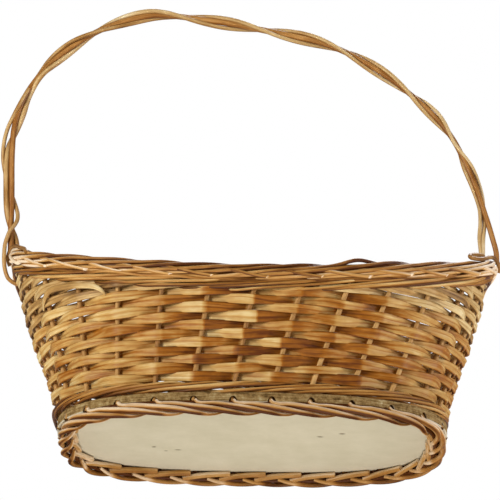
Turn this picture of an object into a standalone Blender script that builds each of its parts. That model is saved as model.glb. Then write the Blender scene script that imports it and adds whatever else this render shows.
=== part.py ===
"""Oval willow basket with a flared saddle-shaped wall, a wooden base board and a twisted arch handle."""

import bisect
import math

import bmesh
import bpy
from mathutils import Vector

# Border rolled round the top of the wall, low at the long sides and high at the ends
RIM_LENGTH = 0.320
RIM_WIDTH = 0.224
RIM_THICKNESS = 0.010
RIM_HEIGHT_END = 0.133
RIM_HEIGHT_SIDE = 0.0936
RIM_END_ROUNDING_RATIO = 0.1
RIM_SQUARENESS = 2.25

# Base board, drilled near its edge for the stakes
BOARD_LENGTH = 0.252
BOARD_WIDTH = 0.176
BOARD_THICKNESS = 0.006
BOARD_SIDES = 64
BOARD_SQUARENESS = 2.5

# Foot border plaited from the stake ends under the board
FOOT_HEIGHT = 0.006
FOOT_WIDTH = 0.007
FOOT_OVERHANG = 0.0025
FOOT_CHAMFER = 0.0015

# Stakes: an equal count in each quarter of the oval
STAKES_PER_QUARTER = 7
STAKE_DIAMETER = 0.003
STAKE_INSET = 0.0035
STAKE_STUB = 0.002
STAKE_LEAN = math.radians(6.8)
STAKE_START_SHARE = 0.1

# Weave on the stakes
WALE_ROD = 0.0028
WEAVER_THICKNESS = 0.002
WEAVER_ROWS = 11
WEAVER_END_SQUEEZE_RATIO = 0.15
PACKING_STRIPS = 4
PACKING_LEAST_HEIGHT = 0.0025

# Handle: a core rod and two rods wound round it, in an arch that peaks left of the middle
HANDLE_ROD = 0.003
HANDLE_HEIGHT = 0.2994
HANDLE_PEAK_SHIFT = -0.072
HANDLE_BULGE_LEFT = 0.010
HANDLE_LEFT_SHOULDER_POWER = 2.5
HANDLE_RIGHT_SHOULDER_POWER = 2.2
HANDLE_HALF_TURNS = 10
HANDLE_STRAIGHT_END = 0.014
HANDLE_SPREAD_LENGTH = 0.012
HANDLE_CLASP = 0.0005
HANDLE_STEPS = 60

# Ties that hook the handle's feet to the border
TIE_ROD = 0.0024
TIE_BESIDE_HANDLE = 0.0055
TIE_SWEEP = math.radians(250)
TIE_STEPS = 12

# Clearances
SEAT_GAP = 0.0003
HOLE_GAP = 0.0009
WEAVE_GAP = 0.0005
ROW_GAP = 0.0003

# Levels and counts that follow from the sizes above
STAKE_COUNT = 4 * STAKES_PER_QUARTER
RIGHT_END = STAKE_COUNT / 4 - STAKE_START_SHARE
LEFT_END = 3 * STAKE_COUNT / 4 - STAKE_START_SHARE
BOARD_UNDERSIDE = FOOT_HEIGHT + STAKE_STUB
BOARD_TOP = BOARD_UNDERSIDE + BOARD_THICKNESS
RIM_RADIUS = RIM_THICKNESS / 2
WALE_HEIGHT = 2 * WALE_ROD + WEAVE_GAP
WALE_DROP = RIM_RADIUS + SEAT_GAP + WALE_HEIGHT / 2
ROWS_BOTTOM = BOARD_TOP + SEAT_GAP + WALE_HEIGHT + ROW_GAP
ROWS_TOP = RIM_HEIGHT_SIDE - RIM_RADIUS - WALE_DROP - WALE_HEIGHT / 2 - ROW_GAP
ROW_PITCH = (ROWS_TOP - ROWS_BOTTOM) / WEAVER_ROWS
HALF_BAYS = [step / 2 for step in range(2 * STAKE_COUNT)]


def clear_scene():
    """Start from an empty file."""
    for thing in list(bpy.data.objects):
        bpy.data.objects.remove(thing, do_unlink=True)


def new_collection(name):
    collection = bpy.data.collections.new(name)
    bpy.context.scene.collection.children.link(collection)
    return collection


def finish(name, colour, roughness):
    """A plain wood finish; colour is linear red, green and blue."""
    material = bpy.data.materials.new(name)
    material.use_nodes = True
    shader = material.node_tree.nodes["Principled BSDF"]
    shader.inputs["Base Color"].default_value = (*colour, 1)
    shader.inputs["Roughness"].default_value = roughness
    shader.inputs["Metallic"].default_value = 0
    return material


def add_piece(name, data, collection, material):
    piece = bpy.data.objects.new(name, data)
    collection.objects.link(piece)
    data.materials.append(material)
    return piece


def rod(name, places, diameter, collection, material, closed=False):
    """A round rod along a row of places."""
    curve = bpy.data.curves.new(name, "CURVE")
    curve.dimensions = "3D"
    curve.bevel_depth = diameter / 2
    curve.bevel_resolution = 1
    curve.use_fill_caps = True
    spline = curve.splines.new("POLY")
    spline.points.add(len(places) - 1)
    for point, place in zip(spline.points, places):
        point.co = (*place, 1)
        point.radius = 1
    spline.use_cyclic_u = closed
    spline.use_smooth = True
    return add_piece(name, curve, collection, material)


# The wall: places on it are given by a stake number, whole or part, and a height above the table

def oval(length, width, squareness, angle, height):
    """A place on an oval; at squareness 2 it is an ellipse, and above that its corners are fuller."""
    across = math.cos(angle)
    deep = math.sin(angle)
    fuller = (abs(across) ** squareness + abs(deep) ** squareness) ** (-1 / squareness)
    return Vector((length / 2 * fuller * across, width / 2 * fuller * deep, height))


def rim_oval(angle, height):
    """A place on the line through the middle of the rim."""
    return oval(RIM_LENGTH - RIM_THICKNESS, RIM_WIDTH - RIM_THICKNESS, RIM_SQUARENESS, angle, height)


def board_oval(inset, angle, height):
    """A place at a distance inside the edge of the board."""
    return oval(BOARD_LENGTH - 2 * inset, BOARD_WIDTH - 2 * inset, BOARD_SQUARENESS, angle, height)


def edge_lengths():
    """Length along the rim from the middle of the front side, at even angles all the way round."""
    steps = 720
    lengths = [0]
    before = rim_oval(-math.pi / 2, 0)
    for step in range(steps):
        after = rim_oval(2 * math.pi * (step + 1) / steps - math.pi / 2, 0)
        lengths.append(lengths[-1] + (after - before).length)
        before = after
    return lengths


def rim_angle(stake):
    """Angle round the rim; the stakes stand evenly along it, stake 0 just past the middle of the front."""
    turns, share = divmod((stake + STAKE_START_SHARE) / STAKE_COUNT, 1)
    wanted = share * EDGE_LENGTHS[-1]
    after = bisect.bisect_right(EDGE_LENGTHS, wanted, 1, len(EDGE_LENGTHS) - 1)
    before = EDGE_LENGTHS[after - 1]
    steps = after - 1 + (wanted - before) / (EDGE_LENGTHS[after] - before)
    return 2 * math.pi * (turns + steps / (len(EDGE_LENGTHS) - 1)) - math.pi / 2


EDGE_LENGTHS = edge_lengths()


def saddle(stake):
    """Share of the rim's rise: 0 at the middle of a long side, 1 at an end."""
    angle = rim_angle(stake)
    highest = math.hypot(1, RIM_END_ROUNDING_RATIO)
    lowered = math.hypot(math.sin(angle), RIM_END_ROUNDING_RATIO)
    return (highest - lowered) / (highest - RIM_END_ROUNDING_RATIO)


def stake_foot(stake):
    """Where a stake leaves the top of the board."""
    return board_oval(STAKE_INSET, rim_angle(stake) - STAKE_LEAN, BOARD_TOP)


def stake_head(stake):
    """Where a stake runs into the middle of the rim."""
    height = RIM_HEIGHT_SIDE + (RIM_HEIGHT_END - RIM_HEIGHT_SIDE) * saddle(stake) - RIM_RADIUS
    return rim_oval(rim_angle(stake), height)


def rim_direction(stake):
    nearby = 0.05
    return (stake_head(stake + nearby) - stake_head(stake - nearby)).normalized()


def wall_middle(stake, height):
    foot = stake_foot(stake)
    head = stake_head(stake)
    return foot + (head - foot) * ((height - foot.z) / (head.z - foot.z))


def wall(stake, height, outward=0):
    """A place on the wall, set off outwards from the middle of the stakes."""
    nearby = 0.05
    along = wall_middle(stake + nearby, height) - wall_middle(stake - nearby, height)
    upward = stake_head(stake) - stake_foot(stake)
    return wall_middle(stake, height) + outward * along.cross(upward).normalized()


def wale_level(stake):
    """Height of the middle of the upper wale, which follows the rim."""
    return stake_head(stake).z - WALE_DROP


def wale_underside(stake):
    return wale_level(stake) - WALE_HEIGHT / 2 - ROW_GAP


def row_level(stake, row):
    """Height of the lower edge of a row; the rows crowd together towards the ends."""
    return ROWS_BOTTOM + row * ROW_PITCH * (1 - WEAVER_END_SQUEEZE_RATIO * saddle(stake))


# Base

def make_board(collection, cutters, material):
    bpy.ops.mesh.primitive_cylinder_add(vertices=BOARD_SIDES, radius=1, depth=1)
    board = bpy.context.object
    board.name = "base_board"
    board.data.name = "base_board"
    for holder in list(board.users_collection):
        holder.objects.unlink(board)
    collection.objects.link(board)
    for corner in board.data.vertices:
        angle = math.atan2(corner.co.y, corner.co.x)
        corner.co = board_oval(0, angle, corner.co.z * BOARD_THICKNESS)
    board.location.z = BOARD_UNDERSIDE + BOARD_THICKNESS / 2
    board.data.materials.append(material)

    holes = bmesh.new()
    for number in range(STAKE_COUNT):
        middle = wall_middle(number, board.location.z)
        turn = (stake_head(number) - stake_foot(number)).to_track_quat("Z", "Y")
        placing = turn.to_matrix().to_4x4()
        placing.translation = middle
        hole = STAKE_DIAMETER / 2 + HOLE_GAP
        bmesh.ops.create_cone(holes, cap_ends=True, segments=8, radius1=hole, radius2=hole,
                              depth=3 * BOARD_THICKNESS, matrix=placing)
    drill = bpy.data.meshes.new("stake_holes")
    holes.to_mesh(drill)
    holes.free()
    cutter = bpy.data.objects.new("stake_holes", drill)
    cutters.objects.link(cutter)
    cutter.hide_render = True
    cutter.display_type = "WIRE"
    cut = board.modifiers.new("stake holes", "BOOLEAN")
    cut.operation = "DIFFERENCE"
    cut.object = cutter


def make_foot_border(collection, cutters, material):
    """A flat-bottomed ring under the stakes."""
    outline = bpy.data.curves.new("foot_section", "CURVE")
    outline.dimensions = "2D"
    across = FOOT_WIDTH / 2
    upward = FOOT_HEIGHT / 2
    corners = []
    for side, level in ((1, 1), (1, -1), (-1, -1), (-1, 1)):
        beside = (side * across, level * (upward - FOOT_CHAMFER))
        above = (side * (across - FOOT_CHAMFER), level * upward)
        corners += [above, beside] if side == level else [beside, above]
    spline = outline.splines.new("POLY")
    spline.points.add(len(corners) - 1)
    for point, corner in zip(spline.points, corners):
        point.co = (*corner, 0, 1)
    spline.use_cyclic_u = True
    section = bpy.data.objects.new("foot_section", outline)
    cutters.objects.link(section)
    section.hide_render = True
    section.display_type = "WIRE"

    inset = FOOT_WIDTH / 2 - FOOT_OVERHANG
    places = [board_oval(inset, rim_angle(bay) - STAKE_LEAN, FOOT_HEIGHT / 2) for bay in HALF_BAYS]
    ring = rod("foot_border", places, FOOT_HEIGHT, collection, material, closed=True)
    ring.data.twist_mode = "Z_UP"
    ring.data.bevel_mode = "OBJECT"
    ring.data.bevel_object = section


# Stakes and rim

def make_stakes(collection, material):
    for number in range(STAKE_COUNT):
        foot = stake_foot(number)
        head = stake_head(number)
        along = (head - foot).normalized()
        tilt = STAKE_DIAMETER / 2 * math.sqrt(1 - along.z ** 2)
        low = wall_middle(number, FOOT_HEIGHT + SEAT_GAP + tilt)
        slant = abs(along.dot(rim_direction(number)))
        short = (RIM_RADIUS + SEAT_GAP + STAKE_DIAMETER / 2 * slant) / math.sqrt(1 - slant ** 2)
        high = head - along * short
        rod(f"stake_{number + 1:02d}", [low, high], STAKE_DIAMETER, collection, material)


def make_rim(collection, material):
    rim = rod("rim_border", [stake_head(bay) for bay in HALF_BAYS], RIM_THICKNESS, collection, material,
              closed=True)
    rim.data.bevel_resolution = 2


# Weave

def make_wale(name, level, collection, material):
    """Two rods twined round the stakes, changing places between one stake and the next."""
    swing = STAKE_DIAMETER / 2 + WALE_ROD / 2 + WEAVE_GAP
    climb = WALE_ROD / 2 + WEAVE_GAP / 2
    for letter, side in (("a", 1), ("b", -1)):
        places = []
        for bay in HALF_BAYS:
            turn = math.pi * bay
            height = level(bay) + side * climb * math.sin(turn)
            places.append(wall(bay, height, side * swing * math.cos(turn)))
        rod(f"{name}_rod_{letter}", places, WALE_ROD, collection, material, closed=True)


def ribbon(name, bays, low, high, phase, collection, material, closed=False):
    """A flat strip woven before one stake and behind the next: its lower edge, drawn up to its upper one."""
    swing = STAKE_DIAMETER / 2 + WEAVER_THICKNESS / 2 + WEAVE_GAP
    shape = bmesh.new()
    lower = [shape.verts.new(wall(bay, low(bay), swing * math.cos(math.pi * (bay + phase)))) for bay in bays]
    edges = [shape.edges.new(pair) for pair in zip(lower, lower[1:])]
    if closed:
        edges.append(shape.edges.new((lower[-1], lower[0])))
    drawn = set(bmesh.ops.extrude_edge_only(shape, edges=edges)["geom"])
    for bay, corner in zip(bays, lower):
        beside = [edge.other_vert(corner) for edge in corner.link_edges]
        upper = next(other for other in beside if other in drawn)
        upper.co = wall(bay, high(bay), swing * math.cos(math.pi * (bay + phase)))
    bmesh.ops.recalc_face_normals(shape, faces=shape.faces)
    mesh = bpy.data.meshes.new(name)
    shape.to_mesh(mesh)
    shape.free()
    strip = add_piece(name, mesh, collection, material)
    wall_of_strip = strip.modifiers.new("thickness", "SOLIDIFY")
    wall_of_strip.thickness = WEAVER_THICKNESS
    wall_of_strip.offset = 0
    wall_of_strip.use_even_offset = True


def make_weaver_rows(collection, material):
    for row in range(WEAVER_ROWS):
        ribbon(f"weaver_row_{row + 1:02d}", HALF_BAYS,
               lambda bay: row_level(bay, row),
               lambda bay: row_level(bay, row + 1) - ROW_GAP,
               row + 1, collection, material, closed=True)


def make_packing(side, end, collection, material):
    """Short strips that fill the wall between the full rows and the raised end of the rim."""
    wedge = wale_underside(end) - row_level(end, WEAVER_ROWS)
    pitch = wedge / PACKING_STRIPS
    for strip in range(PACKING_STRIPS):
        def low(bay):
            return row_level(bay, WEAVER_ROWS) + strip * pitch

        def high(bay):
            return min(low(bay) + pitch, wale_underside(bay) + ROW_GAP) - ROW_GAP

        reach = 0
        step = 0.05
        while wale_underside(end + reach + step) - low(end + reach + step) > PACKING_LEAST_HEIGHT:
            reach += step
        bays = [bay for bay in HALF_BAYS if abs(bay - end) < reach - step]
        bays = [end - reach] + bays + [end + reach]
        ribbon(f"packing_{side}_{strip + 1}", bays, low, high, WEAVER_ROWS + 1 + strip, collection, material)


# Handle

def handle_line():
    """Evenly spaced places along the core, from the left foot to the right foot."""
    foot_height = RIM_HEIGHT_END + SEAT_GAP
    rise = HANDLE_HEIGHT - foot_height
    half_rim = (RIM_LENGTH - RIM_THICKNESS) / 2
    fine = 200
    line = []
    left = (-1, HANDLE_LEFT_SHOULDER_POWER, HANDLE_BULGE_LEFT)
    right = (1, HANDLE_RIGHT_SHOULDER_POWER, 0)
    for side, shoulder, bulge in (left, right):
        reach = side * half_rim - HANDLE_PEAK_SHIFT
        half = []
        for step in range(fine + 1):
            angle = math.pi / 2 * step / fine
            across = max(math.cos(angle), 0) ** (2 / shoulder)
            upward = math.sin(angle) ** (2 / shoulder)
            sideways = HANDLE_PEAK_SHIFT + reach * across + side * bulge * math.sin(math.pi * upward)
            half.append(Vector((sideways, 0, foot_height + rise * upward)))
        line += half if side < 0 else half[-2::-1]
    travelled = [0]
    for before, after in zip(line, line[1:]):
        travelled.append(travelled[-1] + (after - before).length)
    even = []
    index = 0
    for step in range(HANDLE_STEPS + 1):
        wanted = travelled[-1] * step / HANDLE_STEPS
        while index < len(line) - 2 and travelled[index + 1] < wanted:
            index += 1
        share = (wanted - travelled[index]) / (travelled[index + 1] - travelled[index])
        even.append(line[index].lerp(line[index + 1], share))
    return even, travelled[-1]


def make_handle(collection, material):
    core, length = handle_line()
    rod("handle_core", core, HANDLE_ROD, collection, material)

    close = HANDLE_ROD + WEAVE_GAP
    apart = RIM_RADIUS + HANDLE_ROD / 2 + SEAT_GAP
    twisted = length - 2 * HANDLE_STRAIGHT_END
    spacing = length / HANDLE_STEPS
    beyond = [-RIM_RADIUS - HANDLE_CLASP, -RIM_RADIUS]
    for name, side in (("handle_wrap_outer", 1), ("handle_wrap_inner", -1)):
        places = []
        stations = beyond + [step * spacing for step in range(HANDLE_STEPS + 1)]
        stations += [length - station for station in reversed(beyond)]
        for station in stations:
            step = min(max(round(station / spacing), 0), HANDLE_STEPS)
            before = core[max(step - 1, 0)]
            after = core[min(step + 1, HANDLE_STEPS)]
            along = (after - before).normalized()
            away = Vector((-along.z, 0, along.x))
            past_end = min(station, 0) + max(station - length, 0)
            middle = core[step] + Vector((0, 0, -abs(past_end)))
            to_end = min(station, length - station)
            spread = min(max((HANDLE_SPREAD_LENGTH - to_end) / (HANDLE_SPREAD_LENGTH + RIM_RADIUS), 0), 1)
            turned = min(max((station - HANDLE_STRAIGHT_END) / twisted, 0), 1)
            angle = math.pi * HANDLE_HALF_TURNS * turned
            radius = close + (apart - close) * spread
            if past_end or to_end == 0:
                away = Vector((math.copysign(1, middle.x), 0, 0))
            aside = math.cos(angle) * away + math.sin(angle) * Vector((0, 1, 0))
            places.append(middle + side * radius * aside)
        rod(name, places, HANDLE_ROD, collection, material)


def make_tie(side, end, collection, material):
    """A short rod hooked over the rim beside a foot of the handle."""
    nearby = 0.05
    front = 1 if end == LEFT_END else -1
    per_stake = (stake_head(end + nearby) - stake_head(end - nearby)).length / (2 * nearby)
    spot = end + front * TIE_BESIDE_HANDLE / per_stake
    along = rim_direction(spot)
    outward = along.cross(Vector((0, 0, 1))).normalized()
    upward = outward.cross(along)
    radius = RIM_RADIUS + TIE_ROD / 2 + WEAVE_GAP
    places = []
    for step in range(TIE_STEPS + 1):
        angle = math.pi / 2 + TIE_SWEEP * (step / TIE_STEPS - 0.5)
        places.append(stake_head(spot) + radius * (math.cos(angle) * outward + math.sin(angle) * upward))
    rod(f"handle_tie_{side}", places, TIE_ROD, collection, material)


clear_scene()
basket = new_collection("willow_basket")
guides = new_collection("cutters_and_guides")

board_wood = finish("cream board", (0.60, 0.52, 0.35), 0.6)
stake_willow = finish("golden stake willow", (0.42, 0.24, 0.09), 0.5)
weaver_willow = finish("brown split willow", (0.36, 0.18, 0.06), 0.45)
packing_willow = finish("pale straw willow", (0.58, 0.45, 0.22), 0.5)
border_willow = finish("bleached border willow", (0.46, 0.28, 0.13), 0.5)
handle_willow = finish("handle willow", (0.40, 0.22, 0.09), 0.45)

make_board(basket, guides, board_wood)
make_foot_border(basket, guides, border_willow)
make_stakes(basket, stake_willow)
make_wale("lower_wale", lambda bay: BOARD_TOP + SEAT_GAP + WALE_HEIGHT / 2, basket, weaver_willow)
make_weaver_rows(basket, weaver_willow)
make_packing("right", RIGHT_END, basket, packing_willow)
make_packing("left", LEFT_END, basket, packing_willow)
make_wale("upper_wale", wale_level, basket, weaver_willow)
make_rim(basket, border_willow)
make_handle(basket, handle_willow)
make_tie("right", RIGHT_END, basket, handle_willow)
make_tie("left", LEFT_END, basket, handle_willow)
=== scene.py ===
import math

import bpy
import numpy as np
from mathutils import Matrix, Vector


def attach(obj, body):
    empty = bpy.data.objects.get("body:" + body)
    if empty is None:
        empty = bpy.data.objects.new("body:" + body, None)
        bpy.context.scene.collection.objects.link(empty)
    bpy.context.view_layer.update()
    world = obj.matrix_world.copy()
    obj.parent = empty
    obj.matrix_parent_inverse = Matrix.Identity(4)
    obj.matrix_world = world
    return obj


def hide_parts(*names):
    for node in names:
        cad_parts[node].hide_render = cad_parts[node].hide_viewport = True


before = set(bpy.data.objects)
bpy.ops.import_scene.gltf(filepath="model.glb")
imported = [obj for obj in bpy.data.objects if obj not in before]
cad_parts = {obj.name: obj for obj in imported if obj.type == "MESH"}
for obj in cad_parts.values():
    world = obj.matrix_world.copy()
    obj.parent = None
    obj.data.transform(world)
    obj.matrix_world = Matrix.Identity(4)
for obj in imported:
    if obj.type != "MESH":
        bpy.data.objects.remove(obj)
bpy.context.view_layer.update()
bpy.ops.object.select_all(action="DESELECT")


# Base board: a rounded oval sawn from thin pale board and drilled near its edge for the stakes.
# Both faces are planed smooth, the lower one with a few dark flecks; the sawn edge is brown, fuzzy
# and a little uneven. It sits on the foot border, held by the stakes that pass through it.
BOARD_LENGTH = 0.252
BOARD_WIDTH = 0.176
BOARD_SQUARENESS = 2.6
BOARD_SHIFT = 0.001
BOARD_UNDERSIDE = 0.0088
BOARD_TOP = 0.0158
BOARD_SIDES = 208
EDGE_INSET = 0.00015
EDGE_RIPPLE = 0.00005
EDGE_BEVEL = 0.0008
HOLE_INSET = 0.0011
HOLE_SIZE = (0.0029, 0.0029, 0.0046)
STAKES = 28
STAKE_LEAN = math.radians(6.8)
STAKE_START = 0.1
RIM_LENGTH = 0.320
RIM_WIDTH = 0.224
RIM_SQUARENESS = 2.25
RIM_THICKNESS = 0.010
SHOULDER_PLACE = 0.24
SHOULDER_REACH = 0.15
SHOULDER_PRESS = 0.0034
chance = np.random.default_rng(11)


def oval(length, width, squareness, angle, height):
    """A place on an oval; at squareness 2 it is an ellipse, and above that its corners are fuller."""
    angle, height = np.broadcast_arrays(np.asarray(angle, float), np.asarray(height, float))
    across, deep = np.cos(angle), np.sin(angle)
    fuller = (np.abs(across) ** squareness + np.abs(deep) ** squareness) ** (-1 / squareness)
    return np.stack((length / 2 * fuller * across, width / 2 * fuller * deep, height), axis=-1)


def right_shoulder(angle):
    """The rim is pressed in and up a little behind its right end: 1 where it is pressed most."""
    nearest = np.remainder(np.asarray(angle) + math.pi, 2 * math.pi) - math.pi
    return np.exp(-((nearest - SHOULDER_PLACE) / SHOULDER_REACH) ** 2)


def rim_oval(angle, height):
    place = oval(RIM_LENGTH - RIM_THICKNESS, RIM_WIDTH - RIM_THICKNESS, RIM_SQUARENESS, angle, height)
    place[..., 0] -= SHOULDER_PRESS * right_shoulder(angle)
    return place


def board_edge_oval(inset, angle, height):
    return oval(BOARD_LENGTH - 2 * inset, BOARD_WIDTH - 2 * inset, BOARD_SQUARENESS, angle, height)


edge_steps = np.linspace(0, 2 * math.pi, 721) - math.pi / 2
edge_paces = np.linalg.norm(np.diff(rim_oval(edge_steps, 0), axis=0), axis=1)
edge_lengths = np.concatenate(((0,), np.cumsum(edge_paces)))


def rim_angle(bay):
    """Angle round the basket: the stakes stand evenly along the rim, from just past the front's middle."""
    turns = (np.asarray(bay, float) + STAKE_START) / STAKES
    whole = np.floor(turns)
    return np.interp((turns - whole) * edge_lengths[-1], edge_lengths, edge_steps) + 2 * math.pi * whole


def stake_end(bay, height):
    """Where a stake comes out of the board's underside, close to the edge."""
    return board_edge_oval(HOLE_INSET, rim_angle(bay) - STAKE_LEAN, height) + (BOARD_SHIFT, 0, 0)


def linear(red, green, blue):
    """A colour as seen on screen, 0 to 255, turned into the light values that a shader uses."""
    seen = np.array((red, green, blue)) / 255
    return (*np.where(seen <= 0.04045, seen / 12.92, ((seen + 0.055) / 1.055) ** 2.4), 1)


def add_node(material, kind, **settings):
    node = material.node_tree.nodes.new(kind)
    for name, value in settings.items():
        setattr(node, name, value)
    return node


def wire(material, source, target):
    material.node_tree.links.new(source, target)


bpy.ops.mesh.primitive_cylinder_add(vertices=BOARD_SIDES, radius=1, depth=BOARD_TOP - BOARD_UNDERSIDE)
board = bpy.context.object
board.name = "board_oval"
ripple = chance.uniform(0, 2 * math.pi, 6)
for corner in board.data.vertices:
    around = math.atan2(corner.co.y, corner.co.x)
    uneven = sum(math.sin((5 + 4 * wave) * around + start) for wave, start in enumerate(ripple))
    level = corner.co.z + (BOARD_TOP + BOARD_UNDERSIDE) / 2
    corner.co = board_edge_oval(EDGE_INSET - EDGE_RIPPLE * uneven, around, level) + (BOARD_SHIFT, 0, 0)
bpy.ops.object.mode_set(mode="EDIT")
bpy.ops.mesh.select_all(action="DESELECT")
bpy.ops.mesh.edges_select_sharp(sharpness=math.radians(60))
bpy.ops.mesh.bevel(offset=EDGE_BEVEL, segments=2)
bpy.ops.object.mode_set(mode="OBJECT")

bpy.ops.object.select_all(action="DESELECT")
drills = []
for number in range(STAKES):
    spot = stake_end(number, BOARD_UNDERSIDE)
    bpy.ops.mesh.primitive_uv_sphere_add(segments=16, ring_count=10, location=spot, scale=HOLE_SIZE)
    bpy.ops.object.transform_apply(location=True, rotation=True, scale=True)
    drills.append(bpy.context.object)
for drill in drills:
    drill.select_set(True)
bpy.ops.object.join()
drills = bpy.context.object
bpy.ops.object.select_all(action="DESELECT")
board.select_set(True)
bpy.context.view_layer.objects.active = board
holes = board.modifiers.new("stake holes", "BOOLEAN")
holes.operation = "DIFFERENCE"
holes.object = drills
bpy.ops.object.modifier_apply(modifier=holes.name)
bpy.data.objects.remove(drills, do_unlink=True)
bpy.ops.object.shade_smooth_by_angle(angle=math.radians(35))

board_face = bpy.data.materials.new("planed pale board")
board_face.use_nodes = True
shader = board_face.node_tree.nodes["Principled BSDF"]
shader.inputs["Roughness"].default_value = 0.7
shader.inputs["Specular IOR Level"].default_value = 0.25
place = add_node(board_face, "ShaderNodeTexCoord")
grain = add_node(board_face, "ShaderNodeTexNoise")
grain.inputs["Scale"].default_value = 45
grain.inputs["Detail"].default_value = 8
grain.inputs["Roughness"].default_value = 0.7
wire(board_face, place.outputs["Object"], grain.inputs["Vector"])
tone = add_node(board_face, "ShaderNodeValToRGB")
tone.color_ramp.elements[0].position = 0.3
tone.color_ramp.elements[0].color = linear(203, 195, 172)
tone.color_ramp.elements[1].position = 0.7
tone.color_ramp.elements[1].color = linear(216, 208, 188)
wire(board_face, grain.outputs["Fac"], tone.inputs["Fac"])
surface = tone.outputs["Color"]
FLECK_DEPTH = 0.004
FLECKS = (((-0.0628, 0.0236), 15, (0.0018, 0.0024)),
          ((-0.0551, 0.0331), 80, (0.0013, 0.0016)),
          ((-0.0472, 0.0301), 5, (0.0029, 0.0018)),
          ((0.0448, -0.0082), 20, (0.0028, 0.0020)),
          ((0.0588, -0.0165), -10, (0.0026, 0.0026)))
for spot, turn, size in FLECKS:
    fleck = add_node(board_face, "ShaderNodeMapping", vector_type="TEXTURE")
    fleck.inputs["Location"].default_value = (*spot, BOARD_UNDERSIDE)
    fleck.inputs["Rotation"].default_value = (0, 0, math.radians(turn))
    fleck.inputs["Scale"].default_value = (*size, FLECK_DEPTH)
    wire(board_face, place.outputs["Object"], fleck.inputs["Vector"])
    reach = add_node(board_face, "ShaderNodeVectorMath", operation="LENGTH")
    wire(board_face, fleck.outputs["Vector"], reach.inputs[0])
    strength = add_node(board_face, "ShaderNodeMapRange")
    strength.inputs["From Min"].default_value = 0.4
    strength.inputs["From Max"].default_value = 1
    strength.inputs["To Min"].default_value = 0.75
    strength.inputs["To Max"].default_value = 0
    wire(board_face, reach.outputs["Value"], strength.inputs["Value"])
    flecked = add_node(board_face, "ShaderNodeMix", data_type="RGBA")
    flecked.inputs["B"].default_value = linear(112, 98, 74)
    wire(board_face, strength.outputs["Result"], flecked.inputs["Factor"])
    wire(board_face, surface, flecked.inputs["A"])
    surface = flecked.outputs["Result"]
wire(board_face, surface, shader.inputs["Base Color"])

board_edge = bpy.data.materials.new("sawn board edge")
board_edge.use_nodes = True
shader = board_edge.node_tree.nodes["Principled BSDF"]
shader.inputs["Roughness"].default_value = 0.9
shader.inputs["Specular IOR Level"].default_value = 0.1
place = add_node(board_edge, "ShaderNodeTexCoord")
mottle = add_node(board_edge, "ShaderNodeTexNoise")
mottle.inputs["Scale"].default_value = 260
mottle.inputs["Detail"].default_value = 6
mottle.inputs["Roughness"].default_value = 0.75
wire(board_edge, place.outputs["Object"], mottle.inputs["Vector"])
tone = add_node(board_edge, "ShaderNodeValToRGB")
EDGE_SHADES = ((0.3, (82, 60, 30)), (0.5, (144, 115, 71)),
               (0.66, (172, 148, 103)), (0.78, (204, 190, 150)))
for position, colour in EDGE_SHADES:
    mark = tone.color_ramp.elements.new(position)
    mark.color = linear(*colour)
tone.color_ramp.elements.remove(tone.color_ramp.elements[0])
tone.color_ramp.elements.remove(tone.color_ramp.elements[-1])
flatten = add_node(board_edge, "ShaderNodeVectorMath", operation="MULTIPLY")
flatten.inputs[1].default_value = (60, 60, 1400)
wire(board_edge, place.outputs["Object"], flatten.inputs[0])
layers = add_node(board_edge, "ShaderNodeTexNoise")
layers.inputs["Scale"].default_value = 1
layers.inputs["Detail"].default_value = 3
wire(board_edge, flatten.outputs["Vector"], layers.inputs["Vector"])
rough = add_node(board_edge, "ShaderNodeMath", operation="MULTIPLY_ADD")
rough.inputs[1].default_value = 0.7
wire(board_edge, layers.outputs["Fac"], rough.inputs[0])
wire(board_edge, mottle.outputs["Fac"], rough.inputs[2])
sawn = add_node(board_edge, "ShaderNodeMath", operation="SUBTRACT")
sawn.inputs[1].default_value = 0.35
wire(board_edge, rough.outputs["Value"], sawn.inputs[0])
wire(board_edge, sawn.outputs["Value"], tone.inputs["Fac"])
wire(board_edge, tone.outputs["Color"], shader.inputs["Base Color"])
raised = add_node(board_edge, "ShaderNodeBump")
raised.inputs["Strength"].default_value = 0.8
raised.inputs["Distance"].default_value = 0.0006
wire(board_edge, mottle.outputs["Fac"], raised.inputs["Height"])
wire(board_edge, raised.outputs["Normal"], shader.inputs["Normal"])

# The notch walls round the stake holes are coloured dark brown as painted shade in the recess.
hollow_painted_shade = bpy.data.materials.new("drilled hollow")
hollow_painted_shade.use_nodes = True
shader = hollow_painted_shade.node_tree.nodes["Principled BSDF"]
shader.inputs["Roughness"].default_value = 0.95
shader.inputs["Specular IOR Level"].default_value = 0.1
place = add_node(hollow_painted_shade, "ShaderNodeTexCoord")
mottle = add_node(hollow_painted_shade, "ShaderNodeTexNoise")
mottle.inputs["Scale"].default_value = 400
wire(hollow_painted_shade, place.outputs["Object"], mottle.inputs["Vector"])
tone = add_node(hollow_painted_shade, "ShaderNodeValToRGB")
tone.color_ramp.elements[0].color = linear(44, 26, 10)
tone.color_ramp.elements[1].color = linear(92, 62, 32)
wire(hollow_painted_shade, mottle.outputs["Fac"], tone.inputs["Fac"])
wire(hollow_painted_shade, tone.outputs["Color"], shader.inputs["Base Color"])

FLAT_ENOUGH = 0.97
EDGE_NEARNESS = 0.975
FACING_DOWN = -0.25
for material in (board_face, board_edge, hollow_painted_shade):
    board.data.materials.append(material)
for face in board.data.polygons:
    across, deep = face.center.xy
    nearness = (abs((across - BOARD_SHIFT) / BOARD_LENGTH * 2) ** BOARD_SQUARENESS
                + abs(deep / BOARD_WIDTH * 2) ** BOARD_SQUARENESS)
    face.use_smooth = abs(face.normal.z) < FLAT_ENOUGH
    if not face.use_smooth:
        face.material_index = 0
    # Smooth faces inside the edge line are the notch walls, which get the painted shade.
    elif nearness < EDGE_NEARNESS:
        face.material_index = 2
    else:
        face.material_index = 0 if face.normal.z < FACING_DOWN else 1
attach(board, "root")
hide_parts("base_board")


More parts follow.
